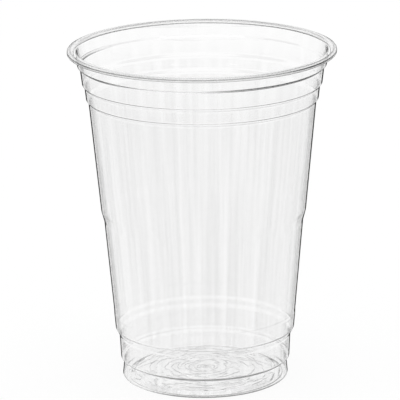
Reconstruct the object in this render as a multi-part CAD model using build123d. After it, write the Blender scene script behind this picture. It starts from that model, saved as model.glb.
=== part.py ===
from build123d import *
from collections import namedtuple
from itertools import pairwise
import math
import os

# A clear cold-drink cup, thermoformed in one piece from one sheet of plastic.
# The origin is the middle of the foot, on the table, with +Z up to the rim.
# Radii are those of the outside face of the sheet.

# Whole cup
cup_height = 124.1
rim_radius = 49.0
foot_radius = 30.75
wall = 0.3

# Base panel, pushed up inside the ring that the cup stands on
stand_width = 2.3
base_rise = 1.2
base_slope = 2.6
base_bend = 1.0
crown_radius = 9.0
crown_rise = 0.35
crown_bend = 40.0

# Foot, a short ring that draws in under the lower band
foot_height = 6.65
foot_draw_in = 0.65
foot_bend = 0.7
groove_bend = 0.5

# Lower band, which overhangs the foot
ledge_width = 1.25
ledge_rise = 0.4
ledge_bend = 0.55
band_height = 8.9
band_flare = 0.42
shoulder_width = 1.4
shoulder_rise = 2.7
shoulder_bend = 1.0

# Wall, with a faint crease low down and a soft step at the waist
crease_height = 5.0
crease_rise = 1.4
crease_bend = 1.5
crease_draw = 0.1
waist_radius = 36.65
lower_wall_height = 41.0
waist_width = 1.05
waist_rise = 4.0
waist_bend = 5.0

# Stacking rings, which hold nested cups apart, and the seat that a lid grips
ring_width = 0.85
ring_rise = 1.0
ring_bend = 0.35
low_ring_height = 4.7
low_ring_flare = 0.5
high_ring_height = 6.2
high_ring_flare = 0.75
seat_height = 5.5
seat_flare = 0.5
seat_ledge_rise = 0.5

# Rim, the edge of the sheet rolled outwards and tucked under
roll_width = 3.1
crest_width = 1.9
crest_fall = 0.4
crest_arch = 1.5
roll_height = 1.6
roll_bend = 0.1
lip_bend = 0.8
tuck_gap = 0.75

# Radii and heights that follow from the sizes above
stand_radius = foot_radius - stand_width
foot_top_radius = foot_radius - foot_draw_in
band_low_radius = foot_top_radius + ledge_width
band_low = foot_height + ledge_rise
band_top_radius = band_low_radius + band_flare
band_top = band_low + band_height
shoulder_radius = band_top_radius + shoulder_width
shoulder_top = band_top + shoulder_rise
waist_low = shoulder_top + lower_wall_height
waist_top = waist_low + waist_rise
waist_top_radius = waist_radius + waist_width
lip_height = cup_height - wall
lip_radius = rim_radius - roll_width
seat_low = lip_height - seat_height
seat_low_radius = lip_radius - seat_flare
tuck_radius = lip_radius + tuck_gap
tuck_height = cup_height - roll_height + wall

Corner = namedtuple("Corner", "radius height bend")


def base_corners():
    """The base panel and the ring that the cup stands on."""
    panel_radius = stand_radius - base_slope
    return [
        Corner(0, base_rise + crown_rise, 0),
        Corner(crown_radius, base_rise + crown_rise, crown_bend),
        Corner(panel_radius, base_rise, base_bend),
        Corner(stand_radius, 0, base_bend),
    ]


def foot_corners():
    """The foot ring, the overhang above it, the lower band and its shoulder."""
    return [
        Corner(foot_radius, 0, foot_bend),
        Corner(foot_top_radius, foot_height, groove_bend),
        Corner(band_low_radius, band_low, ledge_bend),
        Corner(band_top_radius, band_top, shoulder_bend),
        Corner(shoulder_radius, shoulder_top, shoulder_bend),
    ]


def wall_corners():
    """The tapered wall from the crease to the step at the waist."""
    slope = (waist_radius - shoulder_radius) / lower_wall_height
    crease_low = shoulder_top + crease_height
    crease_radius = shoulder_radius + slope * crease_height
    return [
        Corner(crease_radius, crease_low, crease_bend),
        Corner(crease_radius + slope * crease_rise - crease_draw, crease_low + crease_rise, crease_bend),
        Corner(waist_radius, waist_low, waist_bend),
        Corner(waist_top_radius, waist_top, waist_bend),
    ]


def ring_corners():
    """The stacking rings, worked out from the lid seat downwards and given from the lowest up."""
    bands = [
        (seat_ledge_rise, high_ring_height, high_ring_flare),
        (ring_rise, low_ring_height, low_ring_flare),
        (ring_rise, 0, 0),
    ]
    corners = []
    radius, height = seat_low_radius, seat_low
    for ledge_drop, ring_height, ring_flare in bands:
        corners.append(Corner(radius, height, ring_bend))
        radius -= ring_width
        height -= ledge_drop
        corners.append(Corner(radius, height, ring_bend))
        radius -= ring_flare
        height -= ring_height
    return corners[::-1]


def rim_corners():
    """The rolled rim, from the lip at the mouth round to the edge tucked under it."""
    roll_radius = rim_radius - wall
    return [
        Corner(lip_radius, lip_height, lip_bend),
        Corner(lip_radius + crest_width, lip_height, crest_arch),
        Corner(roll_radius, lip_height - crest_fall, roll_bend),
        Corner(roll_radius, tuck_height, roll_bend),
        Corner(tuck_radius, tuck_height, 0),
    ]


def side(run):
    """The direction that points from a run of the section towards the inside face."""
    return Vector(-run.Y, run.X)


def inside_corners(corners):
    """The same corners moved through the sheet, so that the wall is equally thick all along."""
    points = [Vector(corner.radius, corner.height) for corner in corners]
    runs = [(end - start).normalized() for start, end in pairwise(points)]
    moved = [points[0] + side(runs[0]) * wall]
    bends = [0]
    for point, corner, before, after in zip(points[1:], corners[1:], runs, runs[1:]):
        middle = (side(before) + side(after)).normalized()
        moved.append(point + middle * (wall / middle.dot(side(before))))
        turn = before.X * after.Y - before.Y * after.X
        bends.append(max(corner.bend - math.copysign(wall, turn), 0))
    moved.append(points[-1] + side(runs[-1]) * wall)
    bends.append(0)
    return [Corner(point.X, point.Y, bend) for point, bend in zip(moved, bends)]


def face_line(corners):
    """One face of the sheet as straight runs joined by tangent arcs."""
    points = [(corner.radius, corner.height) for corner in corners]
    return FilletPolyline(*points, radius=[corner.bend for corner in corners[1:-1]])


def make_cup():
    """The section of the sheet turned about the cup's axis."""
    corners = base_corners() + foot_corners() + wall_corners() + ring_corners() + rim_corners()
    outside = face_line(corners)
    inside = face_line(inside_corners(corners))
    axis_edge = Line(outside @ 0, inside @ 0)
    sheet_edge = Line(outside @ 1, inside @ 1)
    section = make_face([*outside.edges(), *inside.edges(), axis_edge, sheet_edge])
    return revolve(Plane.XZ * section, Axis.Z)


cup = make_cup()
cup.label = "cup"
os.makedirs("parts", exist_ok=True)
export_step(cup, "parts/cup.step")
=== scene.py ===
import logging
import math
from dataclasses import dataclass, field
from enum import Enum
from itertools import pairwise
from typing import NamedTuple

import bpy
from mathutils import Matrix, Vector


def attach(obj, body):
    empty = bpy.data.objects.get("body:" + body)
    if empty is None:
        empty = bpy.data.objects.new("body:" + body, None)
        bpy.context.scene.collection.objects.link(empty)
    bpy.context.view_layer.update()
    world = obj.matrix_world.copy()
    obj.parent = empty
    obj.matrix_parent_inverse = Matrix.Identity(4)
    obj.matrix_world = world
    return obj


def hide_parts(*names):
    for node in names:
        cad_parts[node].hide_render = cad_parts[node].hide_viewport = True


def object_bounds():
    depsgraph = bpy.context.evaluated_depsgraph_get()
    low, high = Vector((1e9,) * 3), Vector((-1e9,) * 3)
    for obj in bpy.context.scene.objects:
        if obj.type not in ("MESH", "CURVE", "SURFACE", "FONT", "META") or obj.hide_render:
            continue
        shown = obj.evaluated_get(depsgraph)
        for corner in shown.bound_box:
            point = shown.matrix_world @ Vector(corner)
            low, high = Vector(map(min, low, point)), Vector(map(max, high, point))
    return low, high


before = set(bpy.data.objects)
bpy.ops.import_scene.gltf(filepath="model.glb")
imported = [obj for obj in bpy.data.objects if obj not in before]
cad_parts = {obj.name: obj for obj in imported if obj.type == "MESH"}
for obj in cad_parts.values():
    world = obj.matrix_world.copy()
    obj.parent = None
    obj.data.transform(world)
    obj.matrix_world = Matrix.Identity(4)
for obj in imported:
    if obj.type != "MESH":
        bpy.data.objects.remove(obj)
cad_low, cad_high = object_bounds()

MM = 0.001
NODE = "cup"
BODY = "root"
log = logging.getLogger("cup")

# Places of a Mix node's two colour inputs and of its colour output, whose names its other kinds share
FIRST_COLOUR = 6
SECOND_COLOUR = 7
MIXED_COLOUR = 2


class Face(Enum):
    """The two faces of the sheet, by how far each lies through its thickness."""

    OUTSIDE = 0.0
    INSIDE = 1.0


class Mark(NamedTuple):
    """How a bend looks. Its dark line is painted shade, standing in for the light that the bend throws aside:
    edge says how dark the painted shade is in patches, and steady how dark all along. clear says how far the
    haze is left off round it, which paints the bend lighter, a painted highlight. 0 is not at all and 1 is
    fully, and an edge over 1 makes its patches longer."""

    edge: float = 0.0
    steady: float = 0.0
    clear: float = 0.0


class Corner(NamedTuple):
    """A corner of the cup's section: its radius, height and radius of bend, in mm, and its looks."""

    radius: float
    height: float
    bend: float
    mark: Mark = Mark()


class Spot(NamedTuple):
    """A point of the section: its place in mm, and how the sheet looks there."""

    place: Vector
    mark: Mark = Mark()


def linear(colour: str) -> tuple[float, float, float, float]:
    """Turn an sRGB colour into the linear one that the shaders take.

    Args:
        colour: six hex digits after a hash sign.

    Returns:
        Linear red, green and blue, and an alpha of 1.
    """
    values = [int(colour[place:place + 2], 16) / 255 for place in (1, 3, 5)]
    return (*(v / 12.92 if v <= 0.04045 else ((v + 0.055) / 1.055) ** 2.4 for v in values), 1.0)


def add(tree: bpy.types.NodeTree, kind: str, inputs: dict[str | int, object] | None = None,
        **settings: object) -> bpy.types.Node:
    """Add one node, with its settings and what feeds it.

    Args:
        tree: the node tree that gets the node.
        kind: Blender's name for the kind of node.
        inputs: for an input's name or place, a socket to link or a value to set.
        settings: the node's own properties.

    Returns:
        The new node.
    """
    node = tree.nodes.new(kind)
    for name, value in settings.items():
        setattr(node, name, value)
    for place, value in (inputs or {}).items():
        if isinstance(value, bpy.types.NodeSocket):
            tree.links.new(value, node.inputs[place])
        else:
            node.inputs[place].default_value = value
    return node


@dataclass(frozen=True)
class ClearPet:
    """Clear PET sheet, thermoformed. Drawing it down the mould leaves it glossy and clear, with a faint haze
    in upright streaks where the sheet thinned, and ripples in the base where it cooled first. The cut edge is
    grey, partly because the light goes a long way in it and partly from painted shade. Painted shade also
    darkens the sheet where it is seen from the side, along its bends and on the ripples' ridges, and leaving
    the haze off round some bends paints a highlight. Lengths are in mm."""

    name: str = "clear_pet_thermoformed"
    ior: float = 1.575
    roughness: float = 0.01
    depth_colour: str = "#848484"
    depth_density: float = 55.0

    # The haze of each pass through the sheet. It ends below the rim, where the sheet was not drawn thin
    clear: str = "#FFFFFF"
    haze: str = "#F6F6F6"
    haze_least: float = 0.25
    haze_top: float = 118.0
    haze_fade: float = 12.0

    # Real streaks run closer together, and are drawn as coarse as they need to show
    streak_spacing: float = 2.4
    streak_length: float = 90.0
    streak_depth: float = 0.01
    streak_detail: float = 3.0
    streak_none: float = 0.36
    streak_full: float = 0.64

    # Painted shade: a dark colour mixed in where the sheet is seen from the side, which draws its dark
    # outline, and along its bends and ripples
    dark: str = "#202121"
    side_on_from: float = 0.82
    side_on_to: float = 0.92
    side_on_dark: float = 0.9

    # Ripples in the base panel, wavy rings with real bumps, whose ridges also get a little painted shade
    ripple_radius: float = 28.7
    ripple_fade: float = 0.8
    ripple_length: float = 9.0
    ripple_width: float = 2.6
    ripple_middle: float = 0.5
    ripple_edge: float = 0.05
    ripple_detail: float = 1.0
    ripple_shade: float = 0.11
    ripple_depth: float = 0.018

    def material(self, radius: float) -> bpy.types.Material:
        """Build the finish.

        Args:
            radius: the wall's usual radius in mm, which turns a spacing into a count round the cup.

        Returns:
            The material.
        """
        material = bpy.data.materials.new(self.name)
        material.use_nodes = True
        tree = material.node_tree
        tree.nodes.clear()
        place = add(tree, "ShaderNodeTexCoord").outputs["Object"]
        parts = add(tree, "ShaderNodeSeparateXYZ", {0: place}).outputs
        flat = add(tree, "ShaderNodeCombineXYZ", {"X": parts["X"], "Y": parts["Y"]}).outputs[0]
        streaks = self.streaks(tree, flat, parts["Z"], radius)
        ridges, wall = self.ripples(tree, flat)
        sheet = add(tree, "ShaderNodeMix",
                    {"Factor": self.haze_share(tree, streaks, parts["Z"]),
                     FIRST_COLOUR: linear(self.clear), SECOND_COLOUR: linear(self.haze)},
                    data_type="RGBA")
        # Painted shade: the dark colour mixed over the sheet at its outline, its bends and its ripples
        colour = add(tree, "ShaderNodeMix",
                     {"Factor": self.painted_shade_share(tree, ridges, wall),
                      FIRST_COLOUR: sheet.outputs[MIXED_COLOUR], SECOND_COLOUR: linear(self.dark)},
                     data_type="RGBA")
        rippled = add(tree, "ShaderNodeBump", {"Height": ridges, "Distance": self.ripple_depth * MM})
        streaked = add(tree, "ShaderNodeBump",
                       {"Height": streaks, "Distance": self.streak_depth * MM, "Normal": rippled.outputs[0]})
        plastic = add(tree, "ShaderNodeBsdfPrincipled",
                      {"Base Color": colour.outputs[MIXED_COLOUR], "Roughness": self.roughness,
                       "IOR": self.ior, "Transmission Weight": 1.0, "Normal": streaked.outputs[0]})
        depth = add(tree, "ShaderNodeVolumeAbsorption",
                    {"Color": linear(self.depth_colour), "Density": self.depth_density})
        add(tree, "ShaderNodeOutputMaterial", {"Surface": plastic.outputs[0], "Volume": depth.outputs[0]})
        return material

    def streaks(self, tree: bpy.types.NodeTree, flat: bpy.types.NodeSocket, height: bpy.types.NodeSocket,
                radius: float) -> bpy.types.NodeSocket:
        """Upright streaks, closer together than they are long.

        Args:
            tree: the material's tree.
            flat: the place on the cup, without its height.
            height: the height of the place.
            radius: the wall's usual radius in mm.

        Returns:
            A socket with the streaks' noise, which lies about 0.5.
        """
        outward = add(tree, "ShaderNodeVectorMath", {0: flat}, operation="NORMALIZE")
        around = add(tree, "ShaderNodeVectorMath",
                     {0: outward.outputs[0], "Scale": radius / self.streak_spacing}, operation="SCALE")
        along = add(tree, "ShaderNodeMath", {0: height, 1: 1 / (self.streak_length * MM)},
                    operation="MULTIPLY")
        upright = add(tree, "ShaderNodeCombineXYZ", {"Z": along.outputs[0]})
        drawn = add(tree, "ShaderNodeVectorMath", {0: around.outputs[0], 1: upright.outputs[0]},
                    operation="ADD")
        noise = add(tree, "ShaderNodeTexNoise",
                    {"Vector": drawn.outputs[0], "Scale": 1.0, "Detail": self.streak_detail})
        return noise.outputs["Fac"]

    def haze_share(self, tree: bpy.types.NodeTree, streaks: bpy.types.NodeSocket,
                   height: bpy.types.NodeSocket) -> bpy.types.NodeSocket:
        """How hazy the sheet is: most in the streaks, and not at all at the rim and round marked bends, where
        leaving it off paints a highlight.

        Args:
            tree: the material's tree.
            streaks: the streaks' noise.
            height: the height of the place.

        Returns:
            A socket from 0 to 1.
        """
        full = add(tree, "ShaderNodeMapRange",
                   {"Value": streaks, "From Min": self.streak_none, "From Max": self.streak_full,
                    "To Min": self.haze_least})
        drawn = add(tree, "ShaderNodeMapRange",
                    {"Value": height, "From Min": (self.haze_top - self.haze_fade) * MM,
                     "From Max": self.haze_top * MM, "To Min": 1.0, "To Max": 0.0})
        # Painted highlight: the haze is left off round marked bends, so that they look lighter
        painted_highlight = add(tree, "ShaderNodeAttribute", attribute_name="clear").outputs["Fac"]
        unhighlighted = add(tree, "ShaderNodeMath", {0: 1.0, 1: painted_highlight}, operation="SUBTRACT")
        held = add(tree, "ShaderNodeMath", {0: full.outputs[0], 1: drawn.outputs[0]}, operation="MULTIPLY")
        return add(tree, "ShaderNodeMath", {0: held.outputs[0], 1: unhighlighted.outputs[0]},
                   operation="MULTIPLY").outputs[0]

    def painted_shade_share(self, tree: bpy.types.NodeTree, ridges: bpy.types.NodeSocket,
                   wall: bpy.types.NodeSocket) -> bpy.types.NodeSocket:
        """How much painted shade the sheet gets: where it is seen from the side, at its bends and on its
        ripples.

        Args:
            tree: the material's tree.
            ridges: the ripples' ridges.
            wall: 1 on the wall and 0 on the base panel.

        Returns:
            A socket from 0 to 1.
        """
        # Painted shade that darkens the sheet where it is seen from the side
        facing = add(tree, "ShaderNodeLayerWeight").outputs["Facing"]
        side_on_shade = add(tree, "ShaderNodeMapRange",
                      {"Value": facing, "From Min": self.side_on_from, "From Max": self.side_on_to,
                       "To Max": self.side_on_dark}, interpolation_type="SMOOTHSTEP")
        # Painted shade along the bends, read from the edge attribute
        bends = add(tree, "ShaderNodeAttribute", attribute_name="edge").outputs["Fac"]
        lines = add(tree, "ShaderNodeMath", {0: side_on_shade.outputs[0], 1: wall, 2: bends},
                    operation="MULTIPLY_ADD")
        return add(tree, "ShaderNodeMath", {0: ridges, 1: self.ripple_shade, 2: lines.outputs[0]},
                   operation="MULTIPLY_ADD", use_clamp=True).outputs[0]

    def ripples(self, tree: bpy.types.NodeTree,
                flat: bpy.types.NodeSocket) -> tuple[bpy.types.NodeSocket, bpy.types.NodeSocket]:
        """Wavy ridges in the base panel, where the sheet drew unevenly.

        Args:
            tree: the material's tree.
            flat: the place on the cup, without its height.

        Returns:
            A socket that is 1 on a ridge and 0 between ridges and on the wall, and one that is 1 on the wall
            and 0 on the base panel.
        """
        radius = add(tree, "ShaderNodeVectorMath", {0: flat}, operation="LENGTH").outputs["Value"]
        outward = add(tree, "ShaderNodeMath", {0: radius, 1: 1 / (self.ripple_width * MM)},
                      operation="MULTIPLY")
        rings = add(tree, "ShaderNodeCombineXYZ", {"Z": outward.outputs[0]})
        waves = add(tree, "ShaderNodeVectorMath", {0: flat, "Scale": 1 / (self.ripple_length * MM)},
                    operation="SCALE")
        wavy = add(tree, "ShaderNodeVectorMath", {0: waves.outputs[0], 1: rings.outputs[0]}, operation="ADD")
        noise = add(tree, "ShaderNodeTexNoise",
                    {"Vector": wavy.outputs[0], "Scale": 1.0, "Detail": self.ripple_detail})
        above = add(tree, "ShaderNodeMath", {0: noise.outputs["Fac"], 1: self.ripple_middle},
                    operation="SUBTRACT")
        away = add(tree, "ShaderNodeMath", {0: above.outputs[0]}, operation="ABSOLUTE")
        ridge = add(tree, "ShaderNodeMapRange",
                    {"Value": away.outputs[0], "From Max": self.ripple_edge, "To Min": 1.0, "To Max": 0.0},
                    interpolation_type="SMOOTHSTEP")
        wall = add(tree, "ShaderNodeMapRange",
                   {"Value": radius, "From Min": (self.ripple_radius - self.ripple_fade) * MM,
                    "From Max": self.ripple_radius * MM})
        panel = add(tree, "ShaderNodeMath", {0: 1.0, 1: wall.outputs[0]}, operation="SUBTRACT")
        ridges = add(tree, "ShaderNodeMath", {0: ridge.outputs[0], 1: panel.outputs[0]}, operation="MULTIPLY")
        return ridges.outputs[0], wall.outputs[0]


@dataclass(frozen=True)
class StudioPaper:
    """Matt white studio paper. It spreads the light evenly, so that only a soft shadow shows on it."""

    name: str = "white_studio_paper"
    colour: str = "#FDFDFD"
    own_glow: float = 0.92

    def material(self) -> bpy.types.Material:
        """Build the finish, which is plain white to the camera, while mirrored and bent light passes through.

        Returns:
            The material.
        """
        material = bpy.data.materials.new(self.name)
        material.use_nodes = True
        tree = material.node_tree
        tree.nodes.clear()
        path = add(tree, "ShaderNodeLightPath").outputs
        glow = add(tree, "ShaderNodeMath", {0: path["Is Camera Ray"], 1: self.own_glow}, operation="MULTIPLY")
        paper = add(tree, "ShaderNodeBsdfDiffuse", {"Color": linear(self.colour)})
        white = add(tree, "ShaderNodeEmission", {"Color": linear("#FFFFFF"), "Strength": 1.0})
        lit = add(tree, "ShaderNodeMixShader",
                  {"Fac": glow.outputs[0], 1: paper.outputs[0], 2: white.outputs[0]})
        bent = add(tree, "ShaderNodeMath", {0: path["Is Glossy Ray"], 1: path["Is Transmission Ray"]},
                   operation="MAXIMUM")
        gone = add(tree, "ShaderNodeBsdfTransparent")
        mixed = add(tree, "ShaderNodeMixShader",
                    {"Fac": bent.outputs[0], 1: lit.outputs[0], 2: gone.outputs[0]})
        add(tree, "ShaderNodeOutputMaterial", {"Surface": mixed.outputs[0]})
        return material


@dataclass
class Cup:
    """The cup, one sheet of clear plastic. Sizes are in mm and radii are those of the outside face."""

    height: float = 124.1
    rim_radius: float = 49.0
    foot_radius: float = 30.75
    wall: float = 0.3

    # Base panel, pushed up inside the ring that the cup stands on
    stand_width: float = 2.3
    base_rise: float = 1.2
    base_slope: float = 2.6
    base_bend: float = 1.0
    crown_radius: float = 9.0
    crown_rise: float = 0.35
    crown_bend: float = 40.0

    # Foot, and the lower band that overhangs it
    foot_height: float = 6.65
    foot_draw_in: float = 0.65
    foot_bend: float = 0.7
    groove_bend: float = 0.5
    ledge_width: float = 1.25
    ledge_rise: float = 0.4
    ledge_bend: float = 0.55
    band_height: float = 8.9
    band_flare: float = 0.42
    shoulder_width: float = 1.4
    shoulder_rise: float = 2.7
    shoulder_bend: float = 1.0

    # Wall, with a faint crease low down and a soft step at the waist
    crease_height: float = 5.0
    crease_rise: float = 1.4
    crease_bend: float = 1.5
    crease_draw: float = 0.1
    waist_radius: float = 36.65
    lower_wall_height: float = 41.0
    waist_width: float = 1.05
    waist_rise: float = 4.0
    waist_bend: float = 5.0

    # Stacking rings, from the lid seat downwards
    seat_height: float = 5.5
    seat_flare: float = 0.5
    ring_width: float = 0.85
    ring_bend: float = 0.35
    ring_rises: tuple[float, ...] = (0.5, 1.0, 1.0)
    ring_heights: tuple[float, ...] = (6.2, 4.7)
    ring_flares: tuple[float, ...] = (0.75, 0.5)

    # Rim, the edge of the sheet rolled outwards and tucked under
    lip_bend: float = 0.8
    roll_width: float = 3.1
    roll_height: float = 1.6
    roll_bend: float = 0.1
    crest_width: float = 1.9
    crest_fall: float = 0.4
    crest_arch: float = 1.5
    tuck_gap: float = 0.75

    # Looks of the bends: painted shade for their dark lines, drawn wide enough to show, and painted
    # highlights where their haze is left off
    stand_mark: Mark = Mark(edge=1.0)
    foot_mark: Mark = Mark(edge=1.1)
    groove_mark: Mark = Mark(edge=0.45, clear=1.0)
    ledge_mark: Mark = Mark(edge=0.95, clear=1.0)
    band_mark: Mark = Mark(clear=1.0)
    shoulder_mark: Mark = Mark(edge=0.5, clear=1.0)
    crease_mark: Mark = Mark(edge=0.22)
    ring_top_marks: tuple[Mark, ...] = (Mark(edge=2.0, clear=1.0), Mark(clear=1.0), Mark(clear=1.0))
    ring_foot_marks: tuple[Mark, ...] = (Mark(edge=2.0, clear=1.0), Mark(edge=0.36, clear=1.0),
                                         Mark(edge=0.26, clear=1.0))
    lip_mark: Mark = Mark(edge=0.5)
    arch_mark: Mark = Mark(edge=1.0, steady=0.12)
    crest_mark: Mark = Mark(edge=1.4, steady=0.7)
    roll_mark: Mark = Mark(edge=0.5)
    cut_mark: Mark = Mark(edge=0.5, clear=1.0)
    edge_reach: float = 0.45
    clear_reach: float = 0.8

    # Patches along the bends in which their painted dark lines show
    patch_spacing: float = 54.0
    patch_seed: float = 679.7
    patch_none: float = 0.5
    patch_full: float = 0.7

    # Mesh: sides round the cup, degrees to a step in a bend, and points that keep a flat run's shading flat
    sides: int = 240
    bend_step: float = 14.0
    bend_guard: float = 0.3
    longest_run: float = 5.0
    run_end_share: float = 0.4
    weld: float = 0.001
    finish: ClearPet = field(default_factory=ClearPet)

    def base_corners(self) -> list[Corner]:
        """The base panel and the inner side of the ring that the cup stands on.

        Returns:
            The corners, from the middle outwards.
        """
        stand_radius = self.foot_radius - self.stand_width
        crown_height = self.base_rise + self.crown_rise
        return [
            Corner(0, crown_height, 0),
            Corner(self.crown_radius, crown_height, self.crown_bend),
            Corner(stand_radius - self.base_slope, self.base_rise, self.base_bend),
            Corner(stand_radius, 0, self.base_bend, self.stand_mark),
        ]

    def foot_corners(self) -> list[Corner]:
        """The foot, the overhang above it, the lower band and its shoulder.

        Returns:
            The corners, from the lowest up.
        """
        foot_top = self.foot_radius - self.foot_draw_in
        band_low = self.foot_height + self.ledge_rise
        band_radius = foot_top + self.ledge_width
        band_top = band_low + self.band_height
        band_top_radius = band_radius + self.band_flare
        return [
            Corner(self.foot_radius, 0, self.foot_bend, self.foot_mark),
            Corner(foot_top, self.foot_height, self.groove_bend, self.groove_mark),
            Corner(band_radius, band_low, self.ledge_bend, self.ledge_mark),
            Corner(band_top_radius, band_top, self.shoulder_bend, self.band_mark),
            Corner(band_top_radius + self.shoulder_width, band_top + self.shoulder_rise, self.shoulder_bend,
                   self.shoulder_mark),
        ]

    def wall_corners(self, shoulder: Corner) -> list[Corner]:
        """The tapered wall, from the crease above the shoulder to the step at the waist.

        Args:
            shoulder: the corner that the wall starts from.

        Returns:
            The wall's corners, from the lowest up.
        """
        slope = (self.waist_radius - shoulder.radius) / self.lower_wall_height
        crease_low = shoulder.height + self.crease_height
        crease_radius = shoulder.radius + slope * self.crease_height
        waist_low = shoulder.height + self.lower_wall_height
        return [
            Corner(crease_radius, crease_low, self.crease_bend),
            Corner(crease_radius + slope * self.crease_rise - self.crease_draw, crease_low + self.crease_rise,
                   self.crease_bend, self.crease_mark),
            Corner(self.waist_radius, waist_low, self.waist_bend),
            Corner(self.waist_radius + self.waist_width, waist_low + self.waist_rise, self.waist_bend),
        ]

    def ring_corners(self) -> list[Corner]:
        """The stacking rings, worked out from the lid seat downwards.

        Returns:
            The corners, from the lowest up.
        """
        radius = self.rim_radius - self.roll_width - self.seat_flare
        height = self.height - self.wall - self.seat_height
        corners = []
        rings = zip(self.ring_rises, (*self.ring_heights, 0), (*self.ring_flares, 0), self.ring_top_marks,
                    self.ring_foot_marks)
        for ring_rise, ring_height, ring_flare, top_mark, foot_mark in rings:
            corners.append(Corner(radius, height, self.ring_bend, top_mark))
            radius -= self.ring_width
            height -= ring_rise
            corners.append(Corner(radius, height, self.ring_bend, foot_mark))
            radius -= ring_flare
            height -= ring_height
        return corners[::-1]

    def rim_corners(self) -> list[Corner]:
        """The rolled rim.

        Returns:
            The corners, from the lip at the mouth round to the edge tucked under the rim.
        """
        lip_height = self.height - self.wall
        lip_radius = self.rim_radius - self.roll_width
        roll_radius = self.rim_radius - self.wall
        tuck_height = self.height - self.roll_height + self.wall
        return [
            Corner(lip_radius, lip_height, self.lip_bend, self.lip_mark),
            Corner(lip_radius + self.crest_width, lip_height, self.crest_arch, self.arch_mark),
            Corner(roll_radius, lip_height - self.crest_fall, self.roll_bend, self.crest_mark),
            Corner(roll_radius, tuck_height, self.roll_bend, self.roll_mark),
            Corner(lip_radius + self.tuck_gap, tuck_height, 0),
        ]

    def corners(self) -> list[Corner]:
        """Every corner of the outside face.

        Returns:
            The corners, from the middle of the base to the tucked edge.
        """
        foot = self.foot_corners()
        wall = self.wall_corners(foot[-1])
        return [*self.base_corners(), *foot, *wall, *self.ring_corners(), *self.rim_corners()]

    def face_line(self, face: Face) -> list[Spot]:
        """One face of the sheet as points close enough to render smooth.

        Args:
            face: the face to follow.

        Returns:
            The points from the base to the tucked edge.
        """
        corners = self.corners()
        depth = self.wall * face.value
        points = [Vector((corner.radius, corner.height)) for corner in corners]
        runs = [(end - start).normalized() for start, end in pairwise(points)]
        inward = [Vector((-run.y, run.x)) for run in runs]
        line = [Spot(points[0] + inward[0] * depth)]
        bends = zip(points[1:], corners[1:], pairwise(runs), pairwise(inward))
        for point, corner, (before, after), (first, second) in bends:
            middle = (first + second).normalized()
            place = point + middle * (depth / middle.dot(first))
            turn = after.angle_signed(before)
            bend = max(corner.bend - math.copysign(depth, turn), 0)
            self.add_bend(line, Corner(*place, bend, corner.mark), before, turn)
        self.add_run(line, points[-1] + inward[-1] * depth)
        return line

    def add_run(self, line: list[Spot], end: Vector, clear: float = 0.0) -> None:
        """Carry a line straight on, with points beside both of its ends that keep the shading of the run
        flat, and points further in where the clearness of its ends is over.

        Args:
            line: the points so far, which the run is added to.
            end: where the run ends.
            clear: how clear the sheet is there.
        """
        start, mark = line[-1]
        length = (end - start).length
        guard, reach = self.bend_guard / length, self.clear_reach / length
        spots = [(1.0, clear)]
        if guard < self.run_end_share:
            spots += [(guard, mark.clear), (1 - guard, clear)]
        if reach < self.run_end_share:
            count = math.ceil(length / self.longest_run)
            shares = (reach, 1 - reach, *(step / count for step in range(1, count)))
            spots += [(share, 0.0) for share in shares if reach <= share <= 1 - reach]
        line.extend(Spot(start.lerp(end, share), Mark(clear=amount)) for share, amount in sorted(spots))

    def add_bend(self, line: list[Spot], corner: Corner, before: Vector, turn: float) -> None:
        """Carry a line to a corner and round its bend, whose painted shade is darkest in the middle.

        Args:
            line: the points so far, which the bend is added to.
            corner: where the two runs would meet.
            before: the direction of the run before the corner.
            turn: the angle of the bend, in radians, positive to the left.
        """
        start = Vector(corner[:2]) - before * (corner.bend * math.tan(abs(turn) / 2))
        edge, steady, clear = corner.mark
        self.add_run(line, start, clear)
        if corner.bend == 0:
            return
        arm = Vector((before.y, -before.x)) * math.copysign(corner.bend, turn)
        count = max(2, math.ceil(math.degrees(abs(turn)) / self.bend_step))
        for share in (step / count for step in range(1, count + 1)):
            swung = Matrix.Rotation(turn * share, 2) @ arm
            away = abs(share - 1 / 2) * corner.bend * abs(turn)
            near = max(0, 1 - away / self.edge_reach)
            line.append(Spot(start - arm + swung, Mark(edge * near, steady * near, clear)))

    def cut_line(self, inside: Vector, outside: Vector) -> list[Spot]:
        """The cut edge of the sheet, slightly rounded, between the ends of its two faces.

        Args:
            inside: where the inside face ends.
            outside: where the outside face ends.

        Returns:
            The points between the two.
        """
        middle = (outside + inside) / 2
        arm = inside - middle
        count = math.ceil(180 / (2 * self.bend_step))
        turns = [Matrix.Rotation(-math.pi * step / count, 2) for step in range(1, count)]
        return [Spot(middle + turn @ arm, self.cut_mark) for turn in turns]

    def section(self) -> list[Spot]:
        """The closed section of the sheet.

        Returns:
            The points, from the axis round both faces and back to the axis.
        """
        inside = self.face_line(Face.INSIDE)
        outside = self.face_line(Face.OUTSIDE)
        return [*inside, *self.cut_line(inside[-1].place, outside[-1].place), *outside[::-1]]

    def section_object(self) -> bpy.types.Object:
        """The section as a chain of edges in the XZ plane, with each point's looks as attributes.

        Returns:
            The object that holds the chain.
        """
        spots = self.section()
        mesh = bpy.data.meshes.new("cup_section")
        mesh.from_pydata([(spot.place.x * MM, 0, spot.place.y * MM) for spot in spots],
                         list(pairwise(range(len(spots)))), [])
        for name in Mark._fields:
            values = [getattr(spot.mark, name) for spot in spots]
            mesh.attributes.new(name, "FLOAT", "POINT").data.foreach_set("value", values)
        holder = bpy.data.objects.new("cup_section", mesh)
        bpy.context.scene.collection.objects.link(holder)
        return holder

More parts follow.
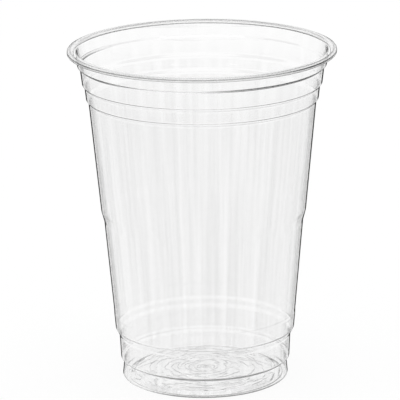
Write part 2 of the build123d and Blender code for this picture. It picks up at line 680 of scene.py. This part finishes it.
    def turning_tree(self) -> bpy.types.GeometryNodeTree:
        """Geometry nodes that turn the section about the Z axis into one closed skin.

        Returns:
            The tree, with the section, its count of points, the sides, the patches and the finish as inputs.
        """
        tree = bpy.data.node_groups.new("turn_cup", "GeometryNodeTree")
        for name, kind in (("Section", "NodeSocketGeometry"), ("Section Points", "NodeSocketInt"),
                           ("Sides", "NodeSocketInt"), ("Patch Spacing", "NodeSocketFloat"),
                           ("Patch Seed", "NodeSocketFloat"), ("Patch None", "NodeSocketFloat"),
                           ("Patch Full", "NodeSocketFloat"), ("Weld", "NodeSocketFloat"),
                           ("Finish", "NodeSocketMaterial")):
            tree.interface.new_socket(name, in_out="INPUT", socket_type=kind)
        tree.interface.new_socket("Cup", in_out="OUTPUT", socket_type="NodeSocketGeometry")
        given = add(tree, "NodeGroupInput").outputs
        here = add(tree, "GeometryNodeInputPosition").outputs[0]
        last = add(tree, "ShaderNodeMath", {0: given["Section Points"], 1: 1.0}, operation="SUBTRACT")
        seams = add(tree, "ShaderNodeMath", {0: given["Sides"], 1: 1.0}, operation="ADD")
        grid = add(tree, "GeometryNodeMeshGrid",
                   {"Size X": last.outputs[0], "Size Y": given["Sides"],
                    "Vertices X": given["Section Points"], "Vertices Y": seams.outputs[0]})
        spot = add(tree, "ShaderNodeSeparateXYZ", {0: here})
        along = add(tree, "ShaderNodeMath", {0: last.outputs[0], 1: 1 / 2, 2: spot.outputs["X"]},
                    operation="MULTIPLY_ADD")
        place = add(tree, "FunctionNodeFloatToInt", {0: along.outputs[0]})
        point = add(tree, "GeometryNodeSampleIndex",
                    {"Geometry": given["Section"], "Value": here, "Index": place.outputs[0]},
                    data_type="FLOAT_VECTOR")
        share = add(tree, "ShaderNodeMath", {0: spot.outputs["Y"], 1: given["Sides"]}, operation="DIVIDE")
        angle = add(tree, "ShaderNodeMath", {0: share.outputs[0], 1: math.tau}, operation="MULTIPLY")
        turned = add(tree, "ShaderNodeVectorRotate", {"Vector": point.outputs[0], "Angle": angle.outputs[0]},
                     rotation_type="Z_AXIS")
        edge, steady, clear = (
            add(tree, "GeometryNodeSampleIndex",
                {"Geometry": given["Section"], "Index": place.outputs[0],
                 "Value": add(tree, "GeometryNodeInputNamedAttribute", {"Name": name}).outputs[0]}).outputs[0]
            for name in Mark._fields)
        # Painted shade along the bends, stored as edge, and painted highlights where the haze is left off,
        # stored as clear
        dark = self.patchy(tree, given, turned.outputs[0], edge, steady)
        marked = add(tree, "GeometryNodeStoreNamedAttribute",
                     {"Geometry": grid.outputs["Mesh"], "Name": "edge", "Value": dark})
        cleared = add(tree, "GeometryNodeStoreNamedAttribute",
                      {"Geometry": marked.outputs[0], "Name": "clear", "Value": clear})
        skin = add(tree, "GeometryNodeSetPosition",
                   {"Geometry": cleared.outputs[0], "Position": turned.outputs[0]})
        closed = add(tree, "GeometryNodeMergeByDistance",
                     {"Geometry": skin.outputs[0], "Distance": given["Weld"]})
        smooth = add(tree, "GeometryNodeSetShadeSmooth", {"Geometry": closed.outputs[0]})
        real = add(tree, "GeometryNodeRealizeInstances", {"Geometry": smooth.outputs[0]})
        dressed = add(tree, "GeometryNodeSetMaterial",
                      {"Geometry": real.outputs[0], "Material": given["Finish"]})
        add(tree, "NodeGroupOutput", {"Cup": dressed.outputs[0]})
        return tree

    def patchy(self, tree: bpy.types.NodeTree, given: bpy.types.NodeOutputs,
               place: bpy.types.NodeSocket, edge: bpy.types.NodeSocket,
               steady: bpy.types.NodeSocket) -> bpy.types.NodeSocket:
        """Let the painted dark lines come and go round the cup.

        Args:
            tree: the tree that turns the section.
            given: the tree's inputs.
            place: the place on the cup.
            edge: how dark a line's painted shade is in its patches.
            steady: how dark its painted shade is all along.

        Returns:
            A socket with how much painted shade the sheet gets at each point.
        """
        scale = add(tree, "ShaderNodeMath", {0: 1 / MM, 1: given["Patch Spacing"]}, operation="DIVIDE")
        noise = add(tree, "ShaderNodeTexNoise",
                    {"Vector": place, "W": given["Patch Seed"], "Scale": scale.outputs[0], "Detail": 0.0},
                    noise_dimensions="4D")
        patches = add(tree, "ShaderNodeMapRange",
                      {"Value": noise.outputs["Fac"], "From Min": given["Patch None"],
                       "From Max": given["Patch Full"]})
        uneven = add(tree, "ShaderNodeMath", {0: edge, 1: patches.outputs[0]}, operation="MULTIPLY")
        return add(tree, "ShaderNodeMath", {0: uneven.outputs[0], 1: steady}, operation="MAXIMUM").outputs[0]

    def build(self) -> bpy.types.Object:
        """Turn the section into the cup's skin and dress it.

        Returns:
            The finished piece.
        """
        finish = self.finish.material(self.waist_radius)
        holder = self.section_object()
        tree = self.turning_tree()
        turning = holder.modifiers.new("turn_cup", "NODES")
        turning.node_group = tree
        values = {
            "Section Points": len(holder.data.vertices), "Sides": self.sides,
            "Patch Spacing": self.patch_spacing, "Patch Seed": self.patch_seed,
            "Patch None": self.patch_none, "Patch Full": self.patch_full,
            "Weld": self.weld * MM, "Finish": finish,
        }
        for item in tree.interface.items_tree:
            if item.name in values:
                turning[item.identifier] = values[item.name]
        graph = bpy.context.evaluated_depsgraph_get()
        mesh = bpy.data.meshes.new_from_object(holder.evaluated_get(graph))
        mesh.materials.clear()
        mesh.materials.append(finish)
        bpy.data.objects.remove(holder)
        mesh.name = "clear_cup"
        piece = bpy.data.objects.new("clear_cup", mesh)
        bpy.context.scene.collection.objects.link(piece)
        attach(piece, BODY)
        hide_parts(NODE)
        return piece


@dataclass
class Studio:
    """A plain white studio, with dark flags round the cup that draw its outline, as for a photograph of
    glass. Lengths are in mm, angles in degrees, and the lens in pixels of the picture. A direction's height
    or depth is the Z or Y of a unit vector, and a shade is a share of white."""

    picture_width: float = 400.0
    focal_pixels: float = 3170.0
    sensor_width: float = 36.0
    camera_distance: float = 1122.0
    camera_height: float = 383.5
    pitch: float = 15.778
    yaw: float = 0.0667
    roll: float = 0.656

    floor_radius: float = 4000.0
    floor_sides: int = 96
    lamp_size: float = 1200.0
    lamp_height: float = 1800.0
    lamp_power: float = 6.0
    room_light: float = 0.9

    # Overhead, a dark band, then a bright one, then a dark top. Underfoot, a light grey
    sky_shade: float = 0.12
    dark_from: float = 0.6
    dark_to: float = 0.7
    bright_from: float = 0.85
    bright_to: float = 0.89
    top_from: float = 0.95
    top_to: float = 0.965
    underfoot_from: float = -0.72
    underfoot_to: float = -0.85
    underfoot_shade: float = 0.86

    # Flags, which stand below eye height, dark behind the cup, and pale beside it and in front
    flags: int = 16
    flag_share: float = 0.62
    flag_edge: float = 0.06
    flag_fade: float = 0.05
    behind_from: float = 0.86
    behind_to: float = 0.915
    behind_shade: float = 0.03
    beside_from: float = 0.7
    beside_to: float = 0.8
    beside_shade: float = 0.9
    front_shade: float = 0.88
    paper: StudioPaper = field(default_factory=StudioPaper)

    def camera(self) -> bpy.types.Object:
        """The camera at the photograph's viewing angle, looking along +Y and slightly down.

        Returns:
            The scene's camera.
        """
        pitch, yaw, roll = (math.radians(angle) for angle in (self.pitch, self.yaw, self.roll))
        ahead = Matrix.Rotation(math.pi / 2 - pitch, 3, "X")
        turned = Matrix.Rotation(yaw, 3, "Z") @ ahead @ Matrix.Rotation(-roll, 3, "Z")
        place = Matrix.Translation(Vector((0, -self.camera_distance, self.camera_height)) * MM)
        data = bpy.data.cameras.new("camera")
        data.sensor_width = self.sensor_width
        data.lens = self.focal_pixels * self.sensor_width / self.picture_width
        camera = bpy.data.objects.new("camera", data)
        camera.matrix_world = place @ turned.to_4x4()
        bpy.context.scene.collection.objects.link(camera)
        bpy.context.scene.camera = camera
        return camera

    def floor(self) -> bpy.types.Object:
        """A round sheet of paper that the cup stands on.

        Returns:
            The floor.
        """
        arm = Vector((self.floor_radius * MM, 0))
        corners = [Matrix.Rotation(math.tau * side / self.floor_sides, 2) @ arm
                   for side in range(self.floor_sides)]
        mesh = bpy.data.meshes.new("floor")
        mesh.from_pydata([(corner.x, corner.y, cad_low.z) for corner in corners], [],
                         [list(range(self.floor_sides))])
        mesh.materials.append(self.paper.material())
        floor = bpy.data.objects.new("floor", mesh)
        bpy.context.scene.collection.objects.link(floor)
        return floor

    def lamp(self) -> bpy.types.Object:
        """One large soft lamp, straight above the cup and facing down.

        Returns:
            The lamp.
        """
        data = bpy.data.lights.new("soft_lamp", "AREA")
        data.shape = "DISK"
        data.size = self.lamp_size * MM
        data.energy = self.lamp_power
        lamp = bpy.data.objects.new("soft_lamp", data)
        lamp.location.z = self.lamp_height * MM
        lamp.visible_camera = False
        bpy.context.scene.collection.objects.link(lamp)
        return lamp

    def overhead(self, tree: bpy.types.NodeTree, height: bpy.types.NodeSocket) -> bpy.types.NodeSocket:
        """The bands above the cup, which show as thin lines in its bends.

        Args:
            tree: the world's tree.
            height: the height of the direction.

        Returns:
            A socket with the shade, which is 1 up to the lowest band.
        """
        low = add(tree, "ShaderNodeMapRange",
                  {"Value": height, "From Min": self.dark_from, "From Max": self.dark_to, "To Min": 1.0,
                   "To Max": self.sky_shade}, interpolation_type="SMOOTHSTEP")
        bright = add(tree, "ShaderNodeMapRange",
                     {"Value": height, "From Min": self.bright_from, "From Max": self.bright_to},
                     interpolation_type="SMOOTHSTEP")
        top = add(tree, "ShaderNodeMapRange",
                  {"Value": height, "From Min": self.top_from, "From Max": self.top_to, "To Min": 1.0,
                   "To Max": self.sky_shade}, interpolation_type="SMOOTHSTEP")
        ring = add(tree, "ShaderNodeMath", {0: bright.outputs[0], 1: top.outputs[0]}, operation="MULTIPLY")
        return add(tree, "ShaderNodeMath", {0: low.outputs[0], 1: ring.outputs[0]},
                   operation="MAXIMUM").outputs[0]

    def underfoot(self, tree: bpy.types.NodeTree, height: bpy.types.NodeSocket) -> bpy.types.NodeSocket:
        """The ground close under the cup, a little shaded in light that a glossy surface mirrors or bends.

        Args:
            tree: the world's tree.
            height: the height of the direction.

        Returns:
            A socket with the shade, which is 1 away from the foot and in all other light.
        """
        glossy = add(tree, "ShaderNodeLightPath").outputs["Is Glossy Ray"]
        other = add(tree, "ShaderNodeMath", {0: 1.0, 1: glossy}, operation="SUBTRACT")
        shade = add(tree, "ShaderNodeMapRange",
                    {"Value": height, "From Min": self.underfoot_to, "From Max": self.underfoot_from,
                     "To Min": self.underfoot_shade}, interpolation_type="SMOOTHSTEP")
        return add(tree, "ShaderNodeMath", {0: shade.outputs[0], 1: other.outputs[0]},
                   operation="MAXIMUM").outputs[0]

    def round_flags(self, tree: bpy.types.NodeTree, way: bpy.types.NodeOutputs) -> bpy.types.NodeSocket:
        """Upright flags all round, with a white gap straight behind the cup.

        Args:
            tree: the world's tree.
            way: the X, Y and Z of the direction.

        Returns:
            A socket with the shade, which is 1 between the flags and above them.
        """
        turn = add(tree, "ShaderNodeMath", {0: way["Y"], 1: way["X"]}, operation="ARCTAN2")
        count = add(tree, "ShaderNodeMath", {0: turn.outputs[0], 1: self.flags / math.tau},
                    operation="MULTIPLY")
        aside = add(tree, "ShaderNodeMath", {0: count.outputs[0], 1: 1 / 2}, operation="PINGPONG")
        pale = add(tree, "ShaderNodeMapRange",
                   {"Value": way["Y"], "From Min": self.beside_from, "From Max": self.beside_to,
                    "To Min": self.front_shade, "To Max": self.beside_shade},
                   interpolation_type="SMOOTHSTEP")
        shade = add(tree, "ShaderNodeMapRange",
                    {"Value": way["Y"], "From Min": self.behind_from, "From Max": self.behind_to,
                     "To Min": pale.outputs[0], "To Max": self.behind_shade},
                    interpolation_type="SMOOTHSTEP")
        gap_share = 1 - self.flag_share
        flag = add(tree, "ShaderNodeMapRange",
                   {"Value": aside.outputs[0], "From Min": (gap_share - self.flag_edge) / 2,
                    "From Max": (gap_share + self.flag_edge) / 2, "To Min": 1.0, "To Max": shade.outputs[0]},
                   interpolation_type="SMOOTHSTEP")
        above = add(tree, "ShaderNodeMapRange",
                    {"Value": way["Z"], "From Min": -self.flag_fade, "From Max": self.flag_fade},
                    interpolation_type="SMOOTHSTEP")
        return add(tree, "ShaderNodeMath", {0: flag.outputs[0], 1: above.outputs[0]},
                   operation="MAXIMUM").outputs[0]

    def world(self) -> bpy.types.World:
        """The room's even light, plain white to the camera, with the bands and flags that the cup shows.

        Returns:
            The world.
        """
        world = bpy.data.worlds.new("studio")
        world.use_nodes = True
        tree = world.node_tree
        tree.nodes.clear()
        ahead = add(tree, "ShaderNodeTexCoord").outputs["Generated"]
        way = add(tree, "ShaderNodeSeparateXYZ", {0: ahead}).outputs
        path = add(tree, "ShaderNodeLightPath").outputs
        bands = add(tree, "ShaderNodeMath",
                    {0: self.overhead(tree, way["Z"]), 1: self.underfoot(tree, way["Z"])},
                    operation="MULTIPLY")
        shown = add(tree, "ShaderNodeMath", {0: bands.outputs[0], 1: self.round_flags(tree, way)},
                    operation="MULTIPLY")
        white = add(tree, "ShaderNodeMath", {0: shown.outputs[0], 1: path["Is Camera Ray"]},
                    operation="MAXIMUM")
        bent = add(tree, "ShaderNodeMath", {0: path["Is Glossy Ray"], 1: path["Is Transmission Ray"]},
                   operation="MAXIMUM")
        seen = add(tree, "ShaderNodeMath", {0: bent.outputs[0], 1: path["Is Camera Ray"]},
                   operation="MAXIMUM")
        strength = add(tree, "ShaderNodeMix",
                       {"Factor": seen.outputs[0], "A": self.room_light, "B": white.outputs[0]})
        light = add(tree, "ShaderNodeBackground",
                    {"Color": linear("#FFFFFF"), "Strength": strength.outputs[0]})
        add(tree, "ShaderNodeOutputWorld", {"Surface": light.outputs[0]})
        bpy.context.scene.world = world
        return world

    def build(self) -> None:
        """Put up the floor, the lamp, the world and the camera."""
        for thing in (self.floor(), self.lamp(), self.world(), self.camera()):
            log.info("studio: %s", thing.name)
        bpy.context.scene.view_settings.view_transform = "Standard"


def main() -> None:
    """Build the studio and the cup, and report each piece."""
    logging.basicConfig(level=logging.INFO, format="%(name)s: %(message)s")
    Studio().build()
    cup = Cup().build()
    log.info("%s: %d faces", cup.name, len(cup.data.polygons))


if __name__ == "__main__":
    main()
